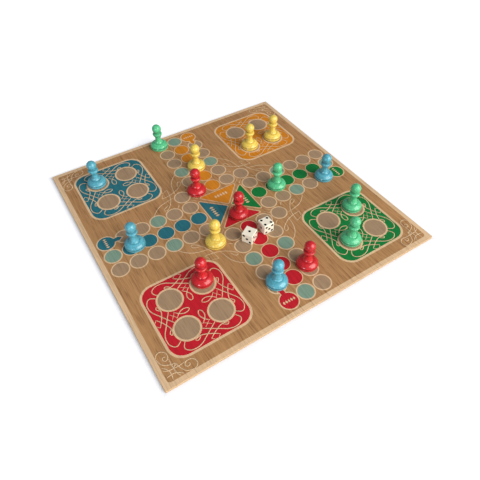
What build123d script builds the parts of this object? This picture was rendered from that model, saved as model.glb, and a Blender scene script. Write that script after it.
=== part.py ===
from build123d import *
import math
import os

# Ludo board with its sixteen pawns and two dice, in millimetres.
# The origin is the centre of the board's underside, +Z is up, +X runs from the red
# yard to the green yard, and +Y runs from the red yard to the blue yard.

# Board, a laminated square panel
board_side = 400.0
core_thickness = 2.4
face_thickness = 0.6
back_thickness = 0.4
board_corner_radius = 1.6
face_arris = 0.25
back_arris = 0.15

# Playing field: a square grid of cells inside a plain margin
cells_across = 15
field_margin = 8.75

# Pawn, a turned piece, from the foot up
foot_radius = 14.2
foot_height = 4.0
foot_undercut = 1.0
foot_rounding = 0.4
foot_groove_depth = 1.2
foot_groove_height = 0.6
dome_inset = 0.3
dome_height = 5.7
shoulder_radius = 7.9
shoulder_groove_depth = 1.0
shoulder_groove_height = 0.6
waist_radius = 4.4
skirt_height = 7.7
cup_height = 6.9
rim_radius = 7.2
rim_height = 2.2
rim_bulge = 0.2
rim_slope_height = 0.9
throat_radius = 4.7
throat_height = 1.15
head_radius = 7.2

# Die
die_edge = 16.0
die_rounding = 1.1
pip_radius = 1.85
pip_depth = 0.5
pip_offset = 4.6
paint_thickness = 0.35
paint_clearance = 0.02

cell_pitch = (board_side - 2 * field_margin) / cells_across
board_top = back_thickness + core_thickness + face_thickness

# Where the pawns stand, in cells from the board's centre
pawn_places = {
    "red": [(-1.05, 1.99), (0.02, -0.92), (-3.86, -3.77), (1.06, -5.72)],
    "green": [(-1.06, 7.05), (3.17, -0.10), (5.71, -3.82), (4.00, -5.67)],
    "yellow": [(0.00, 3.96), (3.93, 3.97), (5.72, 3.98), (-2.10, -2.03)],
    "blue": [(-5.73, 5.79), (-5.74, 0.07), (6.03, -0.98), (-0.88, -5.83)],
}

# How the dice lie: centre in cells, turn in degrees, and the number on each side
dice = {
    "die_1": {
        "place": (-0.477, -2.774),
        "turn": 30.8,
        "faces": {"+Z": "one", "-Z": "six", "-X": "three", "+X": "four", "-Y": "five", "+Y": "two"},
    },
    "die_2": {
        "place": (0.653, -2.646),
        "turn": 0.7,
        "faces": {"+Z": "four", "-Z": "three", "-X": "one", "+X": "six", "-Y": "five", "+Y": "two"},
    },
}

# Pip places on a face, in steps of the pip offset, seen from outside with up at the top
pip_patterns = {
    "one": [(0, 0)],
    "two": [(-1, 1), (1, -1)],
    "three": [(-1, 1), (0, 0), (1, -1)],
    "four": [(-1, -1), (-1, 1), (1, -1), (1, 1)],
    "five": [(-1, -1), (-1, 1), (0, 0), (1, -1), (1, 1)],
    "six": [(-1, -1), (-1, 0), (-1, 1), (1, -1), (1, 0), (1, 1)],
}

# For each side of a die, the direction to its right and the direction it faces
side_directions = {
    "+Z": ((1, 0, 0), (0, 0, 1)),
    "-Z": ((1, 0, 0), (0, 0, -1)),
    "+X": ((0, 1, 0), (1, 0, 0)),
    "-X": ((0, -1, 0), (-1, 0, 0)),
    "+Y": ((-1, 0, 0), (0, 1, 0)),
    "-Y": ((1, 0, 0), (0, -1, 0)),
}


# Board

def board_layer(bottom, thickness):
    """One sheet of the panel, its underside at the given height."""
    outline = RectangleRounded(board_side, board_side, board_corner_radius)
    return Pos(0, 0, bottom) * extrude(outline, amount=thickness)


def back_veneer():
    """The balancing sheet below the core, its lower edge eased."""
    sheet = board_layer(0, back_thickness)
    return chamfer(sheet.faces().sort_by(Axis.Z)[0].edges(), back_arris)


def board_core():
    """The panel between the two veneers."""
    return board_layer(back_thickness, core_thickness)


def face_veneer():
    """The printed sheet on top of the core, its upper edge eased."""
    sheet = board_layer(back_thickness + core_thickness, face_thickness)
    return chamfer(sheet.faces().sort_by(Axis.Z)[-1].edges(), face_arris)


# Pawn

def foot_outline():
    """The rounded ring at the foot and the groove above it, as far as the dome."""
    groove_radius = foot_radius - foot_groove_depth
    low_edge = (foot_radius - foot_undercut, 0)
    high_edge = (foot_radius - foot_rounding, foot_height)
    dome_start = foot_height + foot_groove_height
    ring = ThreePointArc(low_edge, (foot_radius, foot_height * 0.55), high_edge)
    flat = Line((0, 0), ring @ 0)
    dome_radius = foot_radius - dome_inset
    groove = Polyline(ring @ 1, (groove_radius, foot_height), (groove_radius, dome_start), (dome_radius, dome_start))
    return [flat, ring, groove]


def body_outline(start):
    """The domed body, the groove at its shoulder and the hollow skirt up to the waist."""
    shoulder = start + Vector(shoulder_radius - start.X, dome_height)
    dome_rise = start + Vector(0, dome_height * 0.44)
    dome_turn = shoulder + Vector((start.X - shoulder.X) * 0.36, -dome_height * 0.08)
    dome = Bezier(start, dome_rise, dome_turn, shoulder)
    skirt_start = shoulder + Vector(-shoulder_groove_depth, shoulder_groove_height)
    groove = Polyline(shoulder, shoulder + Vector(-shoulder_groove_depth, 0), skirt_start)
    waist = Vector(waist_radius, skirt_start.Y + skirt_height)
    skirt_sweep = Vector((skirt_start.X + waist.X) / 2, skirt_start.Y + skirt_height * 0.15)
    skirt_rise = waist - Vector(0, skirt_height * 0.45)
    skirt = Bezier(skirt_start, skirt_sweep, skirt_rise, waist)
    return [dome, groove, skirt]


def collar_outline(waist):
    """The cup that opens under the head, its rounded rim and the throat."""
    rim_low = Vector(rim_radius, waist.Y + cup_height)
    cup_rise = waist + Vector(0, cup_height * 0.4)
    cup_open = rim_low - Vector((rim_radius - waist_radius) * 0.2, cup_height * 0.37)
    cup = Bezier(waist, cup_rise, cup_open, rim_low)
    rim_middle = rim_low + Vector(rim_bulge, rim_height * 0.45)
    rim_high = rim_low + Vector(-rim_bulge * 2.5, rim_height)
    rim = ThreePointArc(rim_low, rim_middle, rim_high)
    throat_low = Vector(throat_radius, rim_high.Y + rim_slope_height)
    throat = Polyline(rim_high, throat_low, throat_low + Vector(0, throat_height))
    return [cup, rim, throat]


def head_outline(throat):
    """The ball on top, as far as the axis, and the axis back down to the foot."""
    centre_height = throat.Y + math.sqrt(head_radius ** 2 - throat_radius ** 2)
    side = (head_radius, centre_height)
    top = (0, centre_height + head_radius)
    return [ThreePointArc(throat, side, top), Line(top, (0, 0))]


def pawn():
    """A turned pawn standing on the origin."""
    foot = foot_outline()
    body = body_outline(foot[-1] @ 1)
    collar = collar_outline(body[-1] @ 1)
    head = head_outline(collar[-1] @ 1)
    section = make_face(foot + body + collar + head)
    return revolve(Plane.XZ * section, Axis.Z)


# Dice

def pip_planes(side, number, depth):
    """A plane for each pip of one side, sunk below its surface and facing out of it."""
    right, out = side_directions[side]
    face = Plane(origin=Vector(out) * (die_edge / 2 - depth), x_dir=right, z_dir=out)
    return [face * Pos(u * pip_offset, v * pip_offset, 0) for u, v in pip_patterns[number]]


def pip_solids(faces, radius, height):
    """Short cylinders on the floors of the pip recesses of one die."""
    solids = []
    for side, number in faces.items():
        for place in pip_planes(side, number, pip_depth):
            solids.append(place * Cylinder(radius, height, align=(Align.CENTER, Align.CENTER, Align.MIN)))
    return solids


def die_location(name):
    """Where a die lies on the board."""
    across, along = dice[name]["place"]
    height = board_top + die_edge / 2
    return Pos(across * cell_pitch, along * cell_pitch, height) * Rot(0, 0, dice[name]["turn"])


def die(name):
    """A rounded cube with its pips drilled."""
    cube = Box(die_edge, die_edge, die_edge)
    cube = fillet(cube.edges(), die_rounding)
    recess_height = pip_depth * 2
    for recess in pip_solids(dice[name]["faces"], pip_radius, recess_height):
        cube = cube - recess
    return die_location(name) * cube


def die_pips(name):
    """The paint dot on the floor of each pip recess."""
    dots = pip_solids(dice[name]["faces"], pip_radius - paint_clearance, paint_thickness)
    return die_location(name) * Compound(children=dots)


def build():
    """Every piece of the set by its node's name."""
    pieces = {"board_core": board_core(), "face_veneer": face_veneer(), "back_veneer": back_veneer()}
    turned = pawn()
    for colour, places in pawn_places.items():
        for index, (across, along) in enumerate(places, start=1):
            place = Pos(across * cell_pitch, along * cell_pitch, board_top)
            pieces[f"{colour}_pawn_{index}"] = place * turned
    for name in dice:
        pieces[name] = die(name)
        pieces[f"{name}_pips"] = die_pips(name)
    return pieces


os.makedirs("parts", exist_ok=True)
for node, shape in build().items():
    export_step(shape, f"parts/{node}.step")
    print(node, [round(v, 2) for v in shape.bounding_box().size])
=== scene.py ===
import math

import bmesh
import bpy
from bpy.props import FloatProperty, FloatVectorProperty, IntProperty, PointerProperty
from mathutils import Matrix, Vector


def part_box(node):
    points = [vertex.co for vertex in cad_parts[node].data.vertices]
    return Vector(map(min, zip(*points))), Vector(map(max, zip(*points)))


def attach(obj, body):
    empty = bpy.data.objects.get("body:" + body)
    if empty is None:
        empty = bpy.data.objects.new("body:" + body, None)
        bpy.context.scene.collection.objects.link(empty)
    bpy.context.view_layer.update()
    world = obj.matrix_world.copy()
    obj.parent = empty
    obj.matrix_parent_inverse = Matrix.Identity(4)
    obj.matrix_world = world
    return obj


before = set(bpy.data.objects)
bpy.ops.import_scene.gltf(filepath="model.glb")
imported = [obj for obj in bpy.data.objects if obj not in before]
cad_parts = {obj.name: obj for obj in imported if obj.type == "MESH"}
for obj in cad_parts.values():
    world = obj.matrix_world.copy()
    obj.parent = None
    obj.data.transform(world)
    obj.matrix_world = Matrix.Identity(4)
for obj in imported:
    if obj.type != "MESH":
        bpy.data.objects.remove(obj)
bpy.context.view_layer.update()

bl_info = {
    "name": "Ludo Board",
    "version": (1, 0, 0),
    "blender": (4, 5, 0),
    "location": "3D View > Sidebar > Ludo",
    "description": "Prints, veneers and paints a ludo board, its pawns and its dice",
    "category": "Object",
}

PANEL_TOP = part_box("face_veneer")[1].z
PANEL_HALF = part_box("face_veneer")[1].x
PAWN_COLOURS = ("red", "green", "yellow", "blue")
PAWNS_OF_A_COLOUR = 4
DICE = ("die_1", "die_2")

# Small lengths in metres: how far the border's print stays inside the panel's sides, the radius of
# its outer corners, the width of bare wood at the eased edge, and the gap that a weld closes
BORDER_INSET = 0.00027
BORDER_OUTER_CORNER = 0.0014
BARE_EDGE = 0.0004
WELD_GAP = 0.000002

# Heights in metres of each finish's fine relief
SAWN_RELIEF = 0.00006
INK_RELIEF = 0.00005
PAINT_RELIEF = 0.00014
PLASTIC_RELIEF = 0.00002
ENAMEL_RELIEF = 0.00005

# Steps around a rounded corner of a printed patch, and between two points of a stroke
CORNER_STEPS = 7
STROKE_STEPS = 5

# Where each kind of print ends, in films of ink above the veneer
LAYERS = {
    "base": 1,
    "fill": 2,
    "scroll": 3,
    "home_mark": 3,
    "shaft_rim": 3,
    "spot_ring": 4,
    "head_rim": 4,
    "spot": 5,
    "start_rim": 5,
    "shaft": 6,
    "head": 7,
    "start": 8,
    "start_mark": 9,
}

# The camera's place from the middle of the panel's top, the way it looks, its roll in degrees, the
# width of its sensor in millimetres, and the distances between which it sees
CAMERA_PLACE = (-0.2262, -0.3895, 0.4393)
CAMERA_FORWARD = (0.34776, 0.55688, -0.75428)
CAMERA_ROLL = 0.37
CAMERA_SENSOR = 36.0
CAMERA_RANGE = (0.01, 100.0)

# Each lamp's place, the width of its square in metres and its colour, then the sky's colour
KEY_LAMP = ((1.20, -2.46, 1.66), 2.8, (1.0, 0.98, 0.94))
GLINT_LAMP = ((-1.26, -0.80, 0.27), 0.27, (0.86, 0.92, 1.0))
SKY_TINT = (0.95, 1.0, 1.09)
WHITE = (1.0, 1.0, 1.0)
BLACK = (0.0, 0.0, 0.0)

# The sides of the board's axes on which each yard lies, along X and along Y
YARD_SIDES = {"green": (1, -1), "orange": (1, 1), "blue": (-1, 1), "red": (-1, -1)}

# The arm of the cross towards +X, in cells from the middle, and each colour's arm in quarter turns
ARM_ROWS = range(2, 8)
ARM_COLUMNS = (-1, 0, 1)
CORNER_CELL = (2, -2)
START_CELL = (7, -1)
TEAL_CELLS = [(7, 0), (4, 1), (4, -1)]
HOME_TURNS = {"green": 0, "orange": 1, "blue": 2, "red": 3}

# Yard scrollwork on the side that faces +X, in cells: outward from the yard's centre, then along
YARD_SCROLLS = [
    [(1.06, -0.19), (0.87, 0.0), (0.66, 0.112), (0.51, 0.115), (0.375, 0.06), (0.335, 0.0)],
    [(1.42, 1.29), (1.50, 1.35), (1.71, 1.44), (1.90, 1.28), (1.965, 1.04), (1.90, 0.69),
     (1.71, 0.38), (1.465, 0.0), (1.31, -0.24), (1.25, -0.33)],
    [(2.02, -0.10), (1.92, -0.23)],
    [(1.92, -0.23), (1.76, 0.0), (1.63, 0.24), (1.53, 0.50), (1.53, 0.66), (1.60, 0.86)],
    [(1.60, 0.86), (1.67, 0.78), (1.62, 0.65), (1.50, 0.53)],
]
YARD_FINE_SCROLLS = [
    [(1.02, -0.17), (1.15, 0.0), (1.28, 0.17)],
]

# Filigree between the arms of the cross, in the quarter towards +X and -Y, in cells
FILIGREE = [
    [(4.02, -1.47), (3.81, -1.72), (3.46, -1.99), (3.02, -2.14), (2.50, -2.23)],
    [(2.84, -2.90), (2.50, -3.03)],
    [(2.50, -3.03), (2.53, -2.72), (2.59, -2.41), (2.68, -2.14), (2.84, -1.87), (3.02, -1.64),
     (3.17, -1.52), (3.32, -1.50)],
    [(3.32, -1.50), (3.31, -1.65), (3.17, -1.75), (2.99, -1.82)],
    [(2.44, -1.59), (2.49, -1.47), (2.65, -1.32)],
]

# The shaft and the head of a start cell's arrow, in cells from the cell's middle, and its rim
START_SHAFT = [(0.30, -0.118), (0.66, -0.118), (0.66, 0.118), (0.30, 0.118)]
START_HEAD = [(0.65, -0.17), (0.88, 0.0), (0.65, 0.17)]
START_RIM = 0.05

# The home triangle towards +X, in cells: its corners, their rounding, and its outline
HOME_CORNERS = [(1.395, -1.17), (1.395, 1.17), (0.15, 0.0)]
HOME_ROUNDING = 0.06
HOME_GAP = 0.022
HOME_OUTLINE = 0.042

# The pair of short lines out from each corner of the home, in cells
TIE_NEAR = 1.36
TIE_FAR = 1.66
TIE_SHIFT = 0.075

# The rows of lozenges, in cells: each row's length and height, and a lozenge's share of its step
START_MARKS = (0.71, 0.19)
HOME_MARKS = (0.86, 0.27)
HOME_MARKS_AT = 1.0
MARKS_IN_A_ROW = 5
HALF_LOZENGE = 0.42

# Corner ornament, in cells: distances in from the border's two inner edges
CORNER_SCROLLS = [
    [(0.014, 1.286), (0.114, 1.429), (0.286, 1.471), (0.457, 1.371), (0.514, 1.20),
     (0.471, 1.029), (0.343, 0.971), (0.257, 1.086), (0.314, 1.171), (0.40, 1.143)],
    [(0.50, 1.029), (0.48, 0.657), (0.50, 0.371), (0.543, 0.171), (0.614, 0.057)],
    [(0.014, 1.286), (0.043, 1.086), (0.143, 0.886), (0.343, 0.757), (0.543, 0.686),
     (0.657, 0.671)],
    [(0.657, 0.671), (0.571, 0.586), (0.50, 0.514)],
    [(0.057, 0.771), (0.171, 0.657), (0.286, 0.429), (0.286, 0.229), (0.257, 0.057)],
]


def colour(red, green, blue):
    """The scene's linear colour for an 8-bit screen colour."""
    def linear(level):
        part = level / 255
        if part <= 0.04045:
            return part / 12.92
        return ((part + 0.055) / 1.055) ** 2.4
    return (linear(red), linear(green), linear(blue))


def tint(name, description, red, green, blue):
    """A colour that a user can change, given as 8-bit screen levels."""
    return FloatVectorProperty(
        name=name, description=description, default=colour(red, green, blue),
        subtype="COLOR", size=3, min=0.0, max=1.0)


def size(name, description, millimetres):
    """A length that a user can change."""
    return FloatProperty(
        name=name, description=description, default=millimetres / 1000,
        subtype="DISTANCE", unit="LENGTH", min=0.0, precision=5)


def share(name, description, amount, most=1.0):
    """A plain number that a user can change."""
    return FloatProperty(name=name, description=description, default=amount, min=0.0, max=most)


def power(name, description, watts):
    """A lamp's power that a user can change."""
    return FloatProperty(name=name, description=description, default=watts, min=0.0, unit="POWER")


# Sizes and colours a user can change

class LudoPanelLooks(bpy.types.PropertyGroup):
    """The veneered panel."""

    wood: tint("Wood", "The veneer's main colour", 198, 150, 100)
    wood_dark: tint("Wood streaks", "The veneer's darker streaks", 128, 88, 54)
    edge_wood: tint("Edge wood", "The bare wood at the panel's edges", 214, 181, 138)
    edge_dark: tint("Edge streaks", "Darker streaks in the edges", 180, 142, 100)
    back_wood: tint("Back wood", "The plain veneer underneath", 186, 146, 106)
    grain_depth: size("Grain depth", "Height of the open grain", 0.05)


class LudoPrintLooks(bpy.types.PropertyGroup):
    """The game's printed track, yards, home and ornament."""

    cell: size("Cell", "Distance between the middles of two cells", 25.5)
    film: size("Ink film", "Thickness of one film of ink", 0.02)
    cell_radius: size("Cell radius", "Radius of a common cell's disc", 10.6)
    column_radius: size("Column radius", "Radius of a home column's disc", 11.2)
    cell_ring: size("Cell ring", "Outer radius of the pale ring of a cell", 12.35)
    start_radius: size("Start radius", "Radius of a start cell's disc", 11.5)
    start_ring: size("Start ring", "Outer radius of a start cell's pale ring", 13.1)
    yard_place: size("Yard place", "Distance of a yard's middle from the board's axes", 123.2)
    yard_half: size("Yard half", "Half the side of a yard's colour", 52.0)
    yard_corner: size("Yard corner", "Corner radius of a yard's colour", 17.3)
    yard_rim: size("Yard rim", "Width of the pale line around a yard", 3.1)
    spot_place: size("Spot place", "Distance of a spot from the yard's axes", 22.7)
    spot_radius: size("Spot radius", "Radius of a spot's disc", 14.6)
    spot_ring: size("Spot ring", "Outer radius of a spot's pale ring", 17.0)
    border_half: size("Border half", "Half the side of the field inside the border", 193.5)
    border_corner: size("Border corner", "Corner radius of the field inside the border", 4.5)
    line: size("Line", "Width of the pale ornamental lines", 1.35)
    fine_line: size("Fine line", "Width of the thinner lines of the scrollwork", 0.8)
    line_taper: share("Line taper", "Width of a line's ends as a share of its middle", 0.6)
    round_steps: IntProperty(
        name="Round steps", description="Sides of a printed disc", default=56, min=12, max=128)
    pale: tint("Pale", "The unprinted lines and the border", 216, 182, 143)
    plain: tint("Plain", "The common cells and the spots", 160, 132, 103)
    teal: tint("Teal", "The cells marked pale teal", 123, 149, 130)
    red: tint("Red", "The red yard, start, column and home", 189, 26, 39)
    green: tint("Green", "The green yard, start, column and home", 14, 118, 54)
    orange: tint("Orange", "The orange yard, start, column and home", 204, 126, 28)
    blue: tint("Blue", "The blue yard, start, column and home", 38, 107, 119)


class LudoPieceLooks(bpy.types.PropertyGroup):
    """The pawns and the dice."""

    red: tint("Red pawns", "Paint of the red pawns", 200, 22, 32)
    green: tint("Green pawns", "Paint of the green pawns", 86, 194, 136)
    yellow: tint("Yellow pawns", "Paint of the yellow pawns", 250, 203, 88)
    blue: tint("Blue pawns", "Paint of the blue pawns", 84, 166, 184)
    bare_wood: tint("Bare wood", "Wood where the paint is rubbed", 222, 190, 148)
    ivory: tint("Dice", "The dice's plastic", 246, 237, 217)
    pips: tint("Pips", "Paint in the dice's pips", 7, 7, 8)
    rubbing: share("Rubbing", "How far the paint is rubbed along its edges", 0.35)
    foot_rub: size("Foot edge", "Height of the foot's widest line", 2.2)
    foot_worn: size("Foot wear", "Reach of the rubbing above and below that line", 1.1)
    foot_groove: size("Foot groove", "Height of the groove above the foot", 4.3)
    # Painted shade: the paint is darkened this far round the foot groove, where the groove lies in
    # shadow
    foot_shade: size("Foot groove's shade", "Reach of the dark paint at that groove", 1.3)
    shoulder_groove: size("Shoulder groove", "Height of the groove at the shoulder", 10.6)
    # Painted shade at the shoulder groove, darkened as at the foot
    shoulder_shade: size("Shoulder groove's shade", "Reach of the dark paint there", 0.6)
    rim_rub: size("Rim edge", "Height of the collar's widest line", 26.5)
    rim_worn: size("Rim wear", "Reach of the rubbing above and below that line", 0.8)
    neck_groove: size("Neck groove", "Height of the throat under the head", 29.0)
    # Painted shade at the throat, darkened as at the foot
    neck_shade: size("Neck groove's shade", "Reach of the dark paint at the throat", 1.2)


class LudoStageLooks(bpy.types.PropertyGroup):
    """The floor, the lights and the camera."""

    floor: tint("Floor", "The floor's colour", 215, 215, 219)
    floor_half: size("Floor half", "Half the side of the floor", 3000.0)
    floor_lap: size("Floor lap", "How far the floor reaches under the panel", 3.0)
    sky: share("Sky", "Strength of the light from all round", 0.33, 10.0)
    mirrored_sky: share("Mirrored sky", "How bright the sky is in the gloss", 0.14, 10.0)
    key: power("Key light", "Power of the large light, behind the camera to the right", 143.0)
    glint: power("Glint light", "Power of the small low light, behind it to the left", 5.6)
    floor_glow: share("Floor glow", "Light added to what the camera sees of the floor", 0.40)
    # Within this width round the panel the floor gets less of that light, so a band along the
    # panel's sides is darker: painted shade that deepens its contact shadow
    glow_edge: size("Glow edge", "Width round the panel where that light starts", 9.0)
    far_glow: share("Far glow", "More of that light, per metre away from the middle", 0.55, 10.0)
    lens: FloatProperty(
        name="Lens", description="Focal length of the camera", default=32.41, unit="CAMERA")


# Node trees

class Value:
    """A number in a material, to which Python's arithmetic adds Math nodes."""

    def __init__(self, finish, socket):
        self.finish = finish
        self.socket = socket

    def maths(self, operation, first, second):
        """The output of a Math node."""
        return self.finish.node("ShaderNodeMath", {"operation": operation}, {0: first, 1: second})

    def __add__(self, other):
        return self.maths("ADD", self, other)

    def __radd__(self, other):
        return self.maths("ADD", other, self)

    def __sub__(self, other):
        return self.maths("SUBTRACT", self, other)

    def __rsub__(self, other):
        return self.maths("SUBTRACT", other, self)

    def __mul__(self, other):
        return self.maths("MULTIPLY", self, other)

    def __rmul__(self, other):
        return self.maths("MULTIPLY", other, self)

    def __truediv__(self, other):
        return self.maths("DIVIDE", self, other)

    def __rtruediv__(self, other):
        return self.maths("DIVIDE", other, self)


class Finish:
    """A material, or the world's own, that is put together node by node."""

    def __init__(self, name, world=None):
        self.material = world or bpy.data.materials.new(name)
        self.material.use_nodes = True
        self.tree = self.material.node_tree
        self.shader = self.tree.nodes["Background" if world else "Principled BSDF"]

    def feed(self, socket, value):
        """Links a value to a socket, or sets the socket to a plain number, colour or vector."""
        if isinstance(value, Value):
            self.tree.links.new(value.socket, socket)
            return
        plain = tuple(value) if hasattr(value, "__len__") else value
        if socket.type == "RGBA" and len(plain) == 3:
            plain = plain + (1.0,)
        socket.default_value = plain

    def node(self, kind, settings=None, inputs=None, output=0):
        """Adds a node, with its settings first and then its sockets, and returns an output."""
        made = self.tree.nodes.new(kind)
        for key, value in (settings or {}).items():
            if key == "stops":
                self.set_stops(made.color_ramp, value)
            else:
                setattr(made, key, value)
        for key, value in (inputs or {}).items():
            self.feed(made.inputs[key], value)
        return Value(self, made.outputs[output])

    def set_stops(self, ramp, stops):
        """Gives a ramp its (position, level) stops."""
        while len(ramp.elements) < len(stops):
            ramp.elements.new(0.5)
        for element, (position, level) in zip(ramp.elements, stops):
            element.position = position
            element.color = (level, level, level, 1.0)

    def surface(self, **sockets):
        """Sets the shader's own sockets, written with underscores for spaces."""
        for name, value in sockets.items():
            self.feed(self.shader.inputs[name.replace("_", " ")], value)

    def place(self, scale, turn=(0.0, 0.0, 0.0)):
        """Object coordinates, scaled along each axis in repeats per metre."""
        spot = self.node("ShaderNodeTexCoord", output="Object")
        settings = {"vector_type": "POINT"}
        return self.node("ShaderNodeMapping", settings, {0: spot, "Rotation": turn, "Scale": scale})

    def height(self):
        """Height above the floor in metres."""
        spot = self.node("ShaderNodeTexCoord", output="Object")
        return self.node("ShaderNodeSeparateXYZ", None, {0: spot}, output="Z")

    def beyond_panel(self):
        """How far outside the panel's square each place is, along X or Y, in metres."""
        spot = self.node("ShaderNodeTexCoord", output="Object")
        across = self.node("ShaderNodeVectorMath", {"operation": "ABSOLUTE"}, {0: spot})
        x = self.node("ShaderNodeSeparateXYZ", None, {0: across}, output="X")
        y = self.node("ShaderNodeSeparateXYZ", None, {0: across}, output="Y")
        furthest = self.node("ShaderNodeMath", {"operation": "MAXIMUM"}, {0: x, 1: y})
        return furthest - PANEL_HALF

    def noise(self, scale, detail=2.0, roughness=0.5, bend=0.0, turn=(0.0, 0.0, 0.0)):
        """Smooth noise from 0 to 1, with a grain size set along each axis."""
        inputs = {"Vector": self.place(scale, turn), "Scale": 1.0, "Detail": detail,
                  "Roughness": roughness, "Distortion": bend}
        return self.node("ShaderNodeTexNoise", None, inputs)

    def steps(self, value, *stops):
        """A value read through a ramp of (position, level) stops."""
        return self.node("ShaderNodeValToRGB", {"stops": stops}, {0: value})

    def blend(self, amount, first, second):
        """Colour first, going over to colour second with amount."""
        settings = {"data_type": "RGBA"}
        return self.node("ShaderNodeMix", settings, {0: amount, 6: first, 7: second}, output=2)

    def bump(self, height, depth):
        """A normal that follows a height map of the given depth in metres."""
        inputs = {"Strength": 1.0, "Distance": depth, "Height": height}
        return self.node("ShaderNodeBump", None, inputs)

    def band(self, value, middle, half):
        """1 where the value is at the middle, falling to 0 at half away on both sides."""
        away = self.node("ShaderNodeMath", {"operation": "ABSOLUTE"}, {0: value - middle})
        settings = {"operation": "SUBTRACT", "use_clamp": True}
        return self.node("ShaderNodeMath", settings, {0: 1.0, 1: away / half})


# Finishes

def shaded(paint, amount, lift=0.0):
    """A colour made darker or lighter."""
    return tuple(min(1.0, level * amount + lift) for level in paint)


def wood_grain(finish):
    """How dark the panel's grain is at each place, from 0 to 1. It runs along the board's Y."""
    figure = finish.noise((42.0, 2.6, 42.0), detail=3.0, roughness=0.55, bend=0.5)
    streaks = finish.noise((330.0, 10.0, 330.0), detail=4.0, roughness=0.66, bend=0.1)
    dashes = finish.noise((560.0, 34.0, 560.0))
    pores = finish.noise((1500.0, 90.0, 1500.0))
    streak_share = finish.steps(streaks, (0.40, 0.0), (0.62, 1.0))
    dash_share = finish.steps(dashes, (0.54, 0.0), (0.66, 1.0))
    pore_share = finish.steps(pores, (0.52, 0.0), (0.68, 1.0))
    return figure * 0.16 + streak_share * 0.34 + dash_share * 0.40 + pore_share * 0.20


def veneer_finish(name, wood, looks, edges_bare):
    """Open-grained veneer under a thin satin lacquer. Its eased edges can show paler, bare wood."""
    finish = Finish(name)
    grain = wood_grain(finish)
    clouds = finish.noise((9.0, 5.0, 9.0))
    toned = finish.blend(clouds * 0.35, wood, looks.wood_dark)
    field = finish.blend(grain, toned, looks.wood_dark)
    if edges_bare:
        edge = finish.blend(grain * 0.6, looks.edge_wood, looks.edge_dark)
        inputs = {0: finish.beyond_panel(), 1: -BARE_EDGE}
        at_edge = finish.node("ShaderNodeMath", {"operation": "GREATER_THAN"}, inputs)
        field = finish.blend(at_edge, field, edge)
    finish.surface(
        Base_Color=field,
        Roughness=0.42 + grain * 0.22,
        Normal=finish.bump(1.0 - grain, looks.grain_depth),
        Specular_IOR_Level=0.2)
    return finish.material


def core_finish(name, looks):
    """The panel's sawn edge: thin plies with end grain, a little uneven in tone."""
    finish = Finish(name)
    ply = finish.noise((6.0, 6.0, 900.0), detail=1.0)
    fibre = finish.noise((700.0, 700.0, 160.0), detail=3.0, roughness=0.6)
    stain = finish.noise((22.0, 22.0, 60.0))
    dark = finish.steps(ply, (0.42, 0.0), (0.60, 1.0)) * 0.35 + fibre * 0.35 + stain * 0.2
    finish.surface(
        Base_Color=finish.blend(dark, looks.edge_wood, looks.edge_dark),
        Roughness=0.62 + fibre * 0.15,
        Normal=finish.bump(fibre, SAWN_RELIEF),
        Specular_IOR_Level=0.25)
    return finish.material


def ink_finish(name, ink):
    """A thin film of ink through which the veneer's grain shows."""
    finish = Finish(name)
    grain = wood_grain(finish)
    wear = finish.noise((160.0, 60.0, 160.0), detail=4.0, roughness=0.6)
    patches = finish.steps(wear, (0.30, 0.0), (0.75, 1.0))
    body = finish.blend(patches * 0.5, shaded(ink, 1.16, 0.002), ink)
    finish.surface(
        Base_Color=finish.blend(grain * 0.63, body, shaded(ink, 0.50)),
        Roughness=0.46 + grain * 0.2,
        Normal=finish.bump(1.0 - grain, INK_RELIEF),
        Specular_IOR_Level=0.2)
    return finish.material


def pawn_finish(name, paint, looks):
    """Gloss paint on turned wood: turning lines, grain, rubbed edges, and the paint darkened in
    bands at the foot groove, the shoulder groove and the throat, a painted shade.
    """
    finish = Finish(name)
    height = finish.height() - PANEL_TOP
    turning = finish.noise((20.0, 20.0, 900.0), detail=4.0, roughness=0.65)
    grain = finish.noise((520.0, 520.0, 60.0), detail=4.0, roughness=0.6, turn=(0.12, 0.08, 0.0))
    clouds = finish.noise((90.0, 90.0, 90.0), detail=3.0)
    chips = finish.noise((420.0, 420.0, 300.0), detail=4.0, roughness=0.7)
    # Bands at the foot groove, the shoulder groove and the throat: painted shade, darker paint
    # where each groove lies in shadow
    foot_painted_shade = finish.band(height, looks.foot_groove, looks.foot_shade)
    shoulder_painted_shade = finish.band(height, looks.shoulder_groove, looks.shoulder_shade)
    neck_painted_shade = finish.band(height, looks.neck_groove, looks.neck_shade)
    groove_painted_shade = foot_painted_shade + shoulder_painted_shade * 0.3 + neck_painted_shade * 0.7
    foot_edge = finish.band(height, looks.foot_rub, looks.foot_worn)
    rim_edge = finish.band(height, looks.rim_rub, looks.rim_worn)
    edges = foot_edge + rim_edge
    rubbed = edges * finish.steps(chips, (0.54, 0.0), (0.66, 1.0)) * looks.rubbing
    lines = finish.steps(turning, (0.38, 0.0), (0.66, 1.0))
    fibres = finish.steps(grain, (0.40, 0.0), (0.64, 1.0))
    shade = lines * 0.34 + fibres * 0.44 + clouds * 0.22
    body = finish.blend(shade, shaded(paint, 1.26, 0.004), shaded(paint, 0.54))
    # The paint darkened over those bands: painted shade in each groove
    with_painted_shade = finish.blend(groove_painted_shade * 0.85, body, shaded(paint, 0.30))
    relief = turning * 0.5 + grain * 0.5 + chips * 0.12
    finish.surface(
        Base_Color=finish.blend(rubbed, with_painted_shade, looks.bare_wood),
        Roughness=0.46 + fibres * 0.12 + rubbed * 0.35,
        Normal=finish.bump(relief, PAINT_RELIEF),
        Specular_IOR_Level=0.25,
        Coat_Weight=0.9,
        Coat_Roughness=0.19)
    return finish.material


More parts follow.
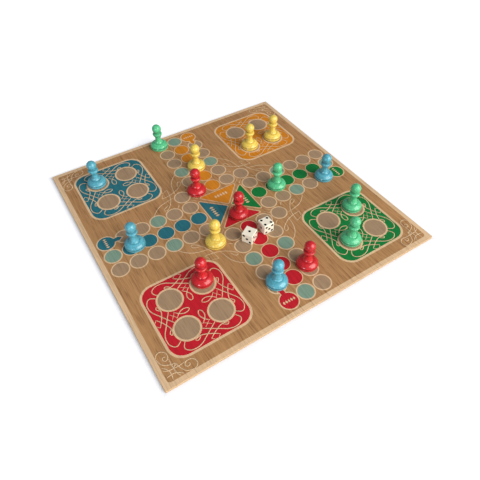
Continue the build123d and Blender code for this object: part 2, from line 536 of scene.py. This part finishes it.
def die_finish(name, looks):
    """Cast ivory-coloured plastic, faintly clouded, with fine handling scratches."""
    finish = Finish(name)
    clouds = finish.noise((120.0, 120.0, 120.0), detail=4.0, roughness=0.6)
    scratches = finish.noise((2600.0, 90.0, 700.0), turn=(0.3, 0.5, 0.7))
    finish.surface(
        Base_Color=finish.blend(clouds * 0.55, looks.ivory, shaded(looks.ivory, 0.86)),
        Roughness=0.24 + finish.steps(scratches, (0.55, 0.0), (0.75, 1.0)) * 0.25,
        Normal=finish.bump(scratches, PLASTIC_RELIEF),
        Specular_IOR_Level=0.35,
        Coat_Weight=0.1,
        Coat_Roughness=0.08)
    return finish.material


def pip_finish(name, looks):
    """Black enamel, brushed into the pips."""
    finish = Finish(name)
    brush = finish.noise((900.0, 900.0, 900.0), detail=3.0)
    finish.surface(
        Base_Color=finish.blend(brush * 0.6, looks.pips, shaded(looks.pips, 2.0)),
        Roughness=0.45 + brush * 0.2,
        Normal=finish.bump(brush, ENAMEL_RELIEF),
        Specular_IOR_Level=0.1)
    return finish.material


def shared_ink(name, ink):
    """The ink of that name, made the first time it is asked for."""
    return bpy.data.materials.get(name) or ink_finish(name, tuple(ink))


def dress(node, finish):
    """Gives a carried-over node its finish."""
    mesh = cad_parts[node].data
    if not mesh.materials:
        mesh.materials.append(finish)
    for index in range(len(mesh.materials)):
        mesh.materials[index] = finish


# Printed shapes, all drawn flat at height 0. They get their thickness when they are laid

def add_disc(shapes, x, y, radius, steps):
    """A round patch."""
    bmesh.ops.create_circle(
        shapes, cap_ends=True, segments=steps, radius=radius, matrix=Matrix.Translation((x, y, 0)))


def add_polygon(shapes, corners, radius=0.0):
    """A patch with the given corners, anticlockwise, each rounded to a radius."""
    verts = [shapes.verts.new((x, y, 0)) for x, y in corners]
    shapes.faces.new(verts)
    if not radius:
        return
    cuts = [radius / math.tan(angle / 2) for angle in inner_angles(corners)]
    for vert, cut in zip(verts, cuts):
        bmesh.ops.bevel(
            shapes, geom=[vert], offset=cut, offset_type="OFFSET", affect="VERTICES",
            segments=CORNER_STEPS, profile=0.5, material=-1)


def sides_at(corners, index):
    """The directions in which the outline reaches a corner and leaves it."""
    here = Vector(corners[index])
    reach = (here - Vector(corners[index - 1])).normalized()
    leave = (Vector(corners[(index + 1) % len(corners)]) - here).normalized()
    return reach, leave


def inner_angles(corners):
    """The angle inside each corner of a patch whose corners all point outwards."""
    angles = []
    for index in range(len(corners)):
        reach, leave = sides_at(corners, index)
        angles.append(math.pi - reach.angle(leave))
    return angles


def grown(corners, amount):
    """The corners of a patch whose sides are all moved outwards by an amount."""
    result = []
    for index, angle in enumerate(inner_angles(corners)):
        reach, leave = sides_at(corners, index)
        away = (reach - leave).normalized() * (amount / math.sin(angle / 2))
        result.append(tuple(Vector(corners[index]) + away))
    return result


def add_ring(shapes, outside, outside_radius, inside, inside_radius):
    """A band between two rounded outlines."""
    edges = []
    for corners, radius in ((outside, outside_radius), (inside, inside_radius)):
        before = set(shapes.faces)
        add_polygon(shapes, corners, radius)
        patch = [face for face in shapes.faces if face not in before]
        edges += [edge for face in patch for edge in face.edges]
        bmesh.ops.delete(shapes, geom=patch, context="FACES_ONLY")
    bmesh.ops.bridge_loops(shapes, edges=edges)


def add_outline(shapes, corners, radius, gap, width):
    """A line of the given width around a rounded patch, a gap away from it."""
    inside, outside = grown(corners, gap), grown(corners, gap + width)
    add_ring(shapes, outside, radius + gap + width, inside, radius + gap)


def square(x, y, half):
    """The corners of a square about a middle."""
    return [(x - half, y - half), (x + half, y - half), (x + half, y + half), (x - half, y + half)]


def turned(points, quarters):
    """Points turned about the origin by quarter turns."""
    for _ in range(quarters % 4):
        points = [(-y, x) for x, y in points]
    return points


def moved(points, x, y):
    """Points moved along the board."""
    return [(a + x, b + y) for a, b in points]


def scaled(points, amount):
    """Points scaled about the origin."""
    return [(a * amount, b * amount) for a, b in points]


def draw_strokes(strokes, width, taper):
    """Flattened tubes along smooth lines through the points of each stroke, as a mesh."""
    line = bpy.data.curves.new("stroke", "CURVE")
    line.dimensions = "3D"
    line.bevel_depth = width / 2
    line.bevel_resolution = 0
    line.resolution_u = STROKE_STEPS
    line.use_fill_caps = True
    for points in strokes:
        spline = line.splines.new("BEZIER")
        spline.bezier_points.add(len(points) - 1)
        for knot, (x, y) in zip(spline.bezier_points, points):
            knot.co = (x, y, 0)
            knot.handle_left_type = "AUTO"
            knot.handle_right_type = "AUTO"
        spline.bezier_points[0].radius = taper
        spline.bezier_points[-1].radius = taper
    carrier = bpy.data.objects.new("stroke", line)
    mesh = bpy.data.meshes.new_from_object(carrier)
    bpy.data.objects.remove(carrier)
    bpy.data.curves.remove(line)
    return mesh


def print_piece(name, shapes, ink):
    """Makes a finished mesh from the shapes, in place, and gives it to the board."""
    bmesh.ops.recalc_face_normals(shapes, faces=shapes.faces)
    mesh = bpy.data.meshes.new(name)
    shapes.to_mesh(mesh)
    shapes.free()
    mesh.materials.append(ink)
    piece = bpy.data.objects.new(name, mesh)
    bpy.context.scene.collection.objects.link(piece)
    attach(piece, "board")


def lay_film(name, shapes, layer, ink, looks):
    """Gives flat shapes the thickness of a film of ink that ends at the given layer."""
    extruded = bmesh.ops.extrude_face_region(shapes, geom=shapes.faces[:])
    raised = [part for part in extruded["geom"] if isinstance(part, bmesh.types.BMVert)]
    bmesh.ops.translate(shapes, verts=shapes.verts, vec=(0, 0, PANEL_TOP))
    bmesh.ops.translate(shapes, verts=raised, vec=(0, 0, looks.film * LAYERS[layer]))
    print_piece(name, shapes, ink)


def lay_strokes(name, strokes, width, layer, ink, looks):
    """Draws strokes as low beads of ink whose tops are at the given layer."""
    drawn = draw_strokes(strokes, width, looks.line_taper)
    shapes = bmesh.new()
    shapes.from_mesh(drawn)
    bpy.data.meshes.remove(drawn)
    bmesh.ops.remove_doubles(shapes, verts=shapes.verts, dist=WELD_GAP)
    bead = looks.film * 2 / width
    middle = PANEL_TOP + looks.film * (LAYERS[layer] - 1)
    bmesh.ops.scale(shapes, verts=shapes.verts, vec=(1, 1, bead))
    bmesh.ops.translate(shapes, verts=shapes.verts, vec=(0, 0, middle))
    print_piece(name, shapes, ink)


def cells_of_arm():
    """The cells of the arm towards +X, with the corner cell before it."""
    arm = [(across, along) for across in ARM_ROWS for along in ARM_COLUMNS]
    return arm + [CORNER_CELL]


def cell_kinds():
    """The places of each kind of cell but the starts: plain, teal, and each colour's column."""
    kinds = {"plain": [], "teal": []}
    for name, quarters in HOME_TURNS.items():
        kinds[name] = []
        for cell in cells_of_arm():
            place = turned([cell], quarters)[0]
            if cell == START_CELL:
                continue
            if cell in TEAL_CELLS:
                kinds["teal"].append(place)
            elif cell[1] == 0:
                kinds[name].append(place)
            else:
                kinds["plain"].append(place)
    return kinds


def start_arrow(quarters, pitch, grow):
    """The corners of the shaft and of the head of a start cell's arrow, grown by an amount."""
    middle = turned([START_CELL], quarters)[0]
    placed = []
    for corners in (START_SHAFT, START_HEAD):
        away = moved(turned(corners, quarters + 2), *middle)
        placed.append(grown(scaled(away, pitch), grow))
    return placed


def lozenge_row(shapes, x, y, quarters, length, height):
    """A row of pointed lozenges about a middle, across an arm at quarter turns from +X."""
    step = length / MARKS_IN_A_ROW
    for index in range(MARKS_IN_A_ROW):
        offset = (index - (MARKS_IN_A_ROW - 1) / 2) * step
        points = [(offset - step * HALF_LOZENGE, 0), (offset, -height / 2),
                  (offset + step * HALF_LOZENGE, 0), (offset, height / 2)]
        add_polygon(shapes, moved(turned(points, quarters + 1), x, y))


# Steps of the making

class Ops:
    """What the operators share."""

    bl_options = {"REGISTER", "UNDO"}


class LUDO_OT_finish_panel(Ops, bpy.types.Operator):
    """Veneer the panel's face and back and finish its sawn core"""

    bl_idname = "ludo.finish_panel"
    bl_label = "Finish the Panel"

    def execute(self, context):
        looks = context.scene.ludo_panel
        face = veneer_finish("face_veneer_lacquer", looks.wood, looks, edges_bare=True)
        core = core_finish("sawn_edge", looks)
        back = veneer_finish("back_veneer_lacquer", looks.back_wood, looks, edges_bare=False)
        dress("face_veneer", face)
        dress("board_core", core)
        dress("back_veneer", back)
        return {"FINISHED"}


class LUDO_OT_print_border(Ops, bpy.types.Operator):
    """Print the pale border band and the ornaments in its corners"""

    bl_idname = "ludo.print_border"
    bl_label = "Print the Border"

    def execute(self, context):
        looks = context.scene.ludo_print
        pale = shared_ink("pale_ink", looks.pale)
        shapes = bmesh.new()
        outside = square(0, 0, PANEL_HALF - BORDER_INSET)
        inside = square(0, 0, looks.border_half)
        add_ring(shapes, outside, BORDER_OUTER_CORNER, inside, looks.border_corner)
        lay_film("print_border", shapes, "base", pale, looks)

        strokes = []
        reach = looks.border_half
        for scroll in CORNER_SCROLLS:
            points = scaled(scroll, looks.cell)
            for way in (points, [(b, a) for a, b in points]):
                corner = [(reach - a, reach - b) for a, b in way]
                strokes += [turned(corner, quarters) for quarters in range(4)]
        lay_strokes("print_corner_scrolls", strokes, looks.line, "base", pale, looks)
        return {"FINISHED"}


class LUDO_OT_print_yards(Ops, bpy.types.Operator):
    """Print the four yards with their scrollwork and spots"""

    bl_idname = "ludo.print_yards"
    bl_label = "Print the Yards"

    def execute(self, context):
        looks = context.scene.ludo_print
        pale = shared_ink("pale_ink", looks.pale)
        plain = shared_ink("plain_ink", looks.plain)
        rims, rings, spots = bmesh.new(), bmesh.new(), bmesh.new()
        for name, (side_x, side_y) in YARD_SIDES.items():
            x, y = side_x * looks.yard_place, side_y * looks.yard_place
            rim = square(x, y, looks.yard_half + looks.yard_rim)
            add_polygon(rims, rim, looks.yard_corner + looks.yard_rim)
            fill = bmesh.new()
            add_polygon(fill, square(x, y, looks.yard_half), looks.yard_corner)
            ink = shared_ink(name + "_ink", getattr(looks, name))
            lay_film("print_yard_" + name, fill, "fill", ink, looks)
            for part, scrolls, width in (
                    ("scrolls", YARD_SCROLLS, looks.line),
                    ("fine_scrolls", YARD_FINE_SCROLLS, looks.fine_line)):
                strokes = []
                for scroll in scrolls:
                    points = scaled(scroll, looks.cell)
                    for way in (points, [(a, -b) for a, b in points]):
                        strokes += [moved(turned(way, quarters), x, y) for quarters in range(4)]
                lay_strokes(f"print_{part}_{name}", strokes, width, "scroll", pale, looks)
            for spot_x in (-looks.spot_place, looks.spot_place):
                for spot_y in (-looks.spot_place, looks.spot_place):
                    add_disc(rings, x + spot_x, y + spot_y, looks.spot_ring, looks.round_steps)
                    add_disc(spots, x + spot_x, y + spot_y, looks.spot_radius, looks.round_steps)
        lay_film("print_yard_rims", rims, "base", pale, looks)
        lay_film("print_spot_rings", rings, "spot_ring", pale, looks)
        lay_film("print_spots", spots, "spot", plain, looks)
        return {"FINISHED"}


class LUDO_OT_print_track(Ops, bpy.types.Operator):
    """Print the cells of the track, the home columns and the start cells"""

    bl_idname = "ludo.print_track"
    bl_label = "Print the Track"

    def execute(self, context):
        looks = context.scene.ludo_print
        pitch = looks.cell
        kinds = cell_kinds()
        pale = shared_ink("pale_ink", looks.pale)
        rings = bmesh.new()
        for kind in ("plain", "teal", *HOME_TURNS):
            discs = bmesh.new()
            for x, y in kinds[kind]:
                add_disc(rings, x * pitch, y * pitch, looks.cell_ring, looks.round_steps)
                radius = looks.column_radius if kind in HOME_TURNS else looks.cell_radius
                add_disc(discs, x * pitch, y * pitch, radius, looks.round_steps)
            ink = shared_ink(kind + "_ink", getattr(looks, kind))
            lay_film("print_cells_" + kind, discs, "fill", ink, looks)
        lay_film("print_cell_rings", rings, "base", pale, looks)

        rims, shafts, heads, marks = bmesh.new(), bmesh.new(), bmesh.new(), bmesh.new()
        for name, quarters in HOME_TURNS.items():
            ink = shared_ink(name + "_ink", getattr(looks, name))
            x, y = scaled(turned([START_CELL], quarters), pitch)[0]
            add_disc(rims, x, y, looks.start_ring, looks.round_steps)
            rim_shaft, rim_head = start_arrow(quarters, pitch, START_RIM * pitch)
            add_polygon(shafts, rim_shaft)
            add_polygon(heads, rim_head)
            shaft, head = start_arrow(quarters, pitch, 0.0)
            for part, corners in (("shaft", shaft), ("head", head)):
                patch = bmesh.new()
                add_polygon(patch, corners)
                lay_film(f"print_start_{part}_{name}", patch, part, ink, looks)
            fill = bmesh.new()
            add_disc(fill, x, y, looks.start_radius, looks.round_steps)
            lay_film("print_start_" + name, fill, "start", ink, looks)
            length, height = [amount * pitch for amount in START_MARKS]
            lozenge_row(marks, x, y, quarters, length, height)
        lay_film("print_start_shaft_rims", shafts, "shaft_rim", pale, looks)
        lay_film("print_start_head_rims", heads, "head_rim", pale, looks)
        lay_film("print_start_rims", rims, "start_rim", pale, looks)
        lay_film("print_start_marks", marks, "start_mark", pale, looks)
        return {"FINISHED"}


class LUDO_OT_print_home(Ops, bpy.types.Operator):
    """Print the four home triangles, their outlines and the lines out to the corner cells"""

    bl_idname = "ludo.print_home"
    bl_label = "Print the Home"

    def execute(self, context):
        looks = context.scene.ludo_print
        pitch = looks.cell
        pale = shared_ink("pale_ink", looks.pale)
        marks, outlines = bmesh.new(), bmesh.new()
        rounding = HOME_ROUNDING * pitch
        length, height = [amount * pitch for amount in HOME_MARKS]
        for name, quarters in HOME_TURNS.items():
            corners = scaled(turned(HOME_CORNERS, quarters), pitch)
            fill = bmesh.new()
            add_polygon(fill, corners, rounding)
            ink = shared_ink(name + "_ink", getattr(looks, name))
            lay_film("print_home_" + name, fill, "fill", ink, looks)
            add_outline(outlines, corners, rounding, HOME_GAP * pitch, HOME_OUTLINE * pitch)
            x, y = scaled(turned([(HOME_MARKS_AT, 0.0)], quarters), pitch)[0]
            lozenge_row(marks, x, y, quarters, length, height)
        lay_film("print_home_outlines", outlines, "base", pale, looks)
        lay_film("print_home_marks", marks, "home_mark", pale, looks)
        strokes = []
        for quarters in range(4):
            for shift in (-TIE_SHIFT, TIE_SHIFT):
                run = [(reach + shift, reach - shift) for reach in (TIE_NEAR, TIE_FAR)]
                strokes.append(scaled(turned(run, quarters), pitch))
        lay_strokes("print_home_ties", strokes, looks.line, "base", pale, looks)
        return {"FINISHED"}


class LUDO_OT_print_filigree(Ops, bpy.types.Operator):
    """Print the pale filigree between the arms of the cross"""

    bl_idname = "ludo.print_filigree"
    bl_label = "Print the Filigree"

    def execute(self, context):
        looks = context.scene.ludo_print
        pale = shared_ink("pale_ink", looks.pale)
        strokes = []
        for scroll in FILIGREE:
            points = scaled(scroll, looks.cell)
            for way in (points, [(-b, -a) for a, b in points]):
                strokes += [turned(way, quarters) for quarters in range(4)]
        lay_strokes("print_filigree", strokes, looks.line, "base", pale, looks)
        return {"FINISHED"}


class LUDO_OT_paint_pawns(Ops, bpy.types.Operator):
    """Paint the sixteen turned pawns"""

    bl_idname = "ludo.paint_pawns"
    bl_label = "Paint the Pawns"

    def execute(self, context):
        looks = context.scene.ludo_pieces
        for name in PAWN_COLOURS:
            paint = pawn_finish(name + "_pawn_paint", getattr(looks, name), looks)
            for number in range(1, PAWNS_OF_A_COLOUR + 1):
                dress(f"{name}_pawn_{number}", paint)
        return {"FINISHED"}


class LUDO_OT_finish_dice(Ops, bpy.types.Operator):
    """Give the dice their plastic and their pips their paint"""

    bl_idname = "ludo.finish_dice"
    bl_label = "Finish the Dice"

    def execute(self, context):
        looks = context.scene.ludo_pieces
        plastic = die_finish("die_cast_plastic", looks)
        enamel = pip_finish("pip_enamel", looks)
        for name in DICE:
            dress(name, plastic)
            dress(name + "_pips", enamel)
        return {"FINISHED"}


class LUDO_OT_set_stage(Ops, bpy.types.Operator):
    """Set the pale floor, the soft lights and the camera"""

    bl_idname = "ludo.set_stage"
    bl_label = "Set the Stage"

    def execute(self, context):
        looks = context.scene.ludo_stage
        set_floor(looks)
        set_sky(context.scene, looks)
        set_light("key_light", looks.key, *KEY_LAMP)
        set_light("glint_light", looks.glint, *GLINT_LAMP)
        set_camera(context.scene, looks)
        context.scene.view_settings.view_transform = "Standard"
        return {"FINISHED"}


def set_floor(looks):
    """A wide plain floor that keeps the shadows, open under the panel to show its back. The light
    added for the camera is held back round the panel, a painted shade along its sides.
    """
    shapes = bmesh.new()
    outside = square(0, 0, looks.floor_half)
    opening = square(0, 0, PANEL_HALF - looks.floor_lap)
    add_ring(shapes, outside, 0.0, opening, 0.0)
    mesh = bpy.data.meshes.new("floor")
    shapes.to_mesh(mesh)
    shapes.free()
    finish = Finish("floor_paper")
    ray = finish.node("ShaderNodeLightPath", output="Is Camera Ray")
    spot = finish.node("ShaderNodeTexCoord", output="Object")
    away = finish.node("ShaderNodeVectorMath", {"operation": "LENGTH"}, {0: spot}, output="Value")
    # No added light right at the panel, rising to full over glow_edge: a painted shade in a band
    # round the panel
    glow_outside_painted_shade = finish.steps(finish.beyond_panel() / looks.glow_edge, (0.0, 0.0), (1.0, 1.0))
    glow = ray * (glow_outside_painted_shade * looks.floor_glow + away * looks.far_glow)
    finish.surface(
        Base_Color=looks.floor,
        Roughness=0.9,
        Specular_IOR_Level=0.0,
        Emission_Color=finish.blend(glow, BLACK, WHITE),
        Emission_Strength=1.0)
    mesh.materials.append(finish.material)
    floor = bpy.data.objects.new("floor", mesh)
    bpy.context.scene.collection.objects.link(floor)


def set_sky(scene, looks):
    """Even light from all round, white where the camera looks straight at it."""
    world = bpy.data.worlds.new("studio_sky")
    scene.world = world
    sky = Finish("studio_sky", world)
    straight = sky.node("ShaderNodeLightPath", output="Is Camera Ray")
    mirrored = sky.node("ShaderNodeLightPath", output="Is Glossy Ray")
    around = tuple(looks.sky * level for level in SKY_TINT)
    glossy = tuple(looks.mirrored_sky * level for level in SKY_TINT)
    seen = sky.blend(straight, sky.blend(mirrored, around, glossy), WHITE)
    sky.surface(Color=seen, Strength=1.0)


def set_light(name, power, place, width, warmth):
    """A square soft light that looks at the middle of the board."""
    lamp = bpy.data.lights.new(name, "AREA")
    lamp.energy = power
    lamp.color = warmth
    lamp.size = width
    holder = bpy.data.objects.new(name, lamp)
    holder.location = place
    holder.rotation_euler = (-Vector(place)).to_track_quat("-Z", "Y").to_euler()
    holder.visible_camera = False
    bpy.context.scene.collection.objects.link(holder)


def set_camera(scene, looks):
    """The photograph's camera: where it stands, where it looks and how it is rolled."""
    lens = bpy.data.cameras.new("camera")
    lens.lens = looks.lens
    lens.sensor_width = CAMERA_SENSOR
    lens.clip_start, lens.clip_end = CAMERA_RANGE
    camera = bpy.data.objects.new("camera", lens)
    scene.collection.objects.link(camera)
    forward = Vector(CAMERA_FORWARD)
    aim = forward.to_track_quat("-Z", "Y").to_matrix()
    roll = Matrix.Rotation(math.radians(CAMERA_ROLL), 3, forward)
    camera.rotation_euler = (roll @ aim).to_euler()
    camera.location = Vector(CAMERA_PLACE) + Vector((0, 0, PANEL_TOP))
    scene.camera = camera


class LUDO_PT_sidebar(bpy.types.Panel):
    """The steps of the making, in order"""

    bl_label = "Ludo Board"
    bl_idname = "LUDO_PT_sidebar"
    bl_space_type = "VIEW_3D"
    bl_region_type = "UI"
    bl_category = "Ludo"

    def draw(self, context):
        for step in STEPS:
            self.layout.operator(step.bl_idname)


STEPS = (
    LUDO_OT_finish_panel,
    LUDO_OT_print_border,
    LUDO_OT_print_yards,
    LUDO_OT_print_track,
    LUDO_OT_print_home,
    LUDO_OT_print_filigree,
    LUDO_OT_paint_pawns,
    LUDO_OT_finish_dice,
    LUDO_OT_set_stage,
)
LOOKS = {
    "ludo_panel": LudoPanelLooks,
    "ludo_print": LudoPrintLooks,
    "ludo_pieces": LudoPieceLooks,
    "ludo_stage": LudoStageLooks,
}


def register():
    """Registers the looks, the steps and the panel."""
    for name, looks in LOOKS.items():
        bpy.utils.register_class(looks)
        setattr(bpy.types.Scene, name, PointerProperty(type=looks))
    for step in STEPS:
        bpy.utils.register_class(step)
    bpy.utils.register_class(LUDO_PT_sidebar)


def unregister():
    """Takes back what register does."""
    bpy.utils.unregister_class(LUDO_PT_sidebar)
    for step in reversed(STEPS):
        bpy.utils.unregister_class(step)
    for name, looks in reversed(LOOKS.items()):
        delattr(bpy.types.Scene, name)
        bpy.utils.unregister_class(looks)


def main():
    """Makes everything in order."""
    register()
    bpy.ops.ludo.finish_panel()
    bpy.ops.ludo.print_border()
    bpy.ops.ludo.print_yards()
    bpy.ops.ludo.print_track()
    bpy.ops.ludo.print_home()
    bpy.ops.ludo.print_filigree()
    bpy.ops.ludo.paint_pawns()
    bpy.ops.ludo.finish_dice()
    bpy.ops.ludo.set_stage()


if __name__ == "__main__":
    main()
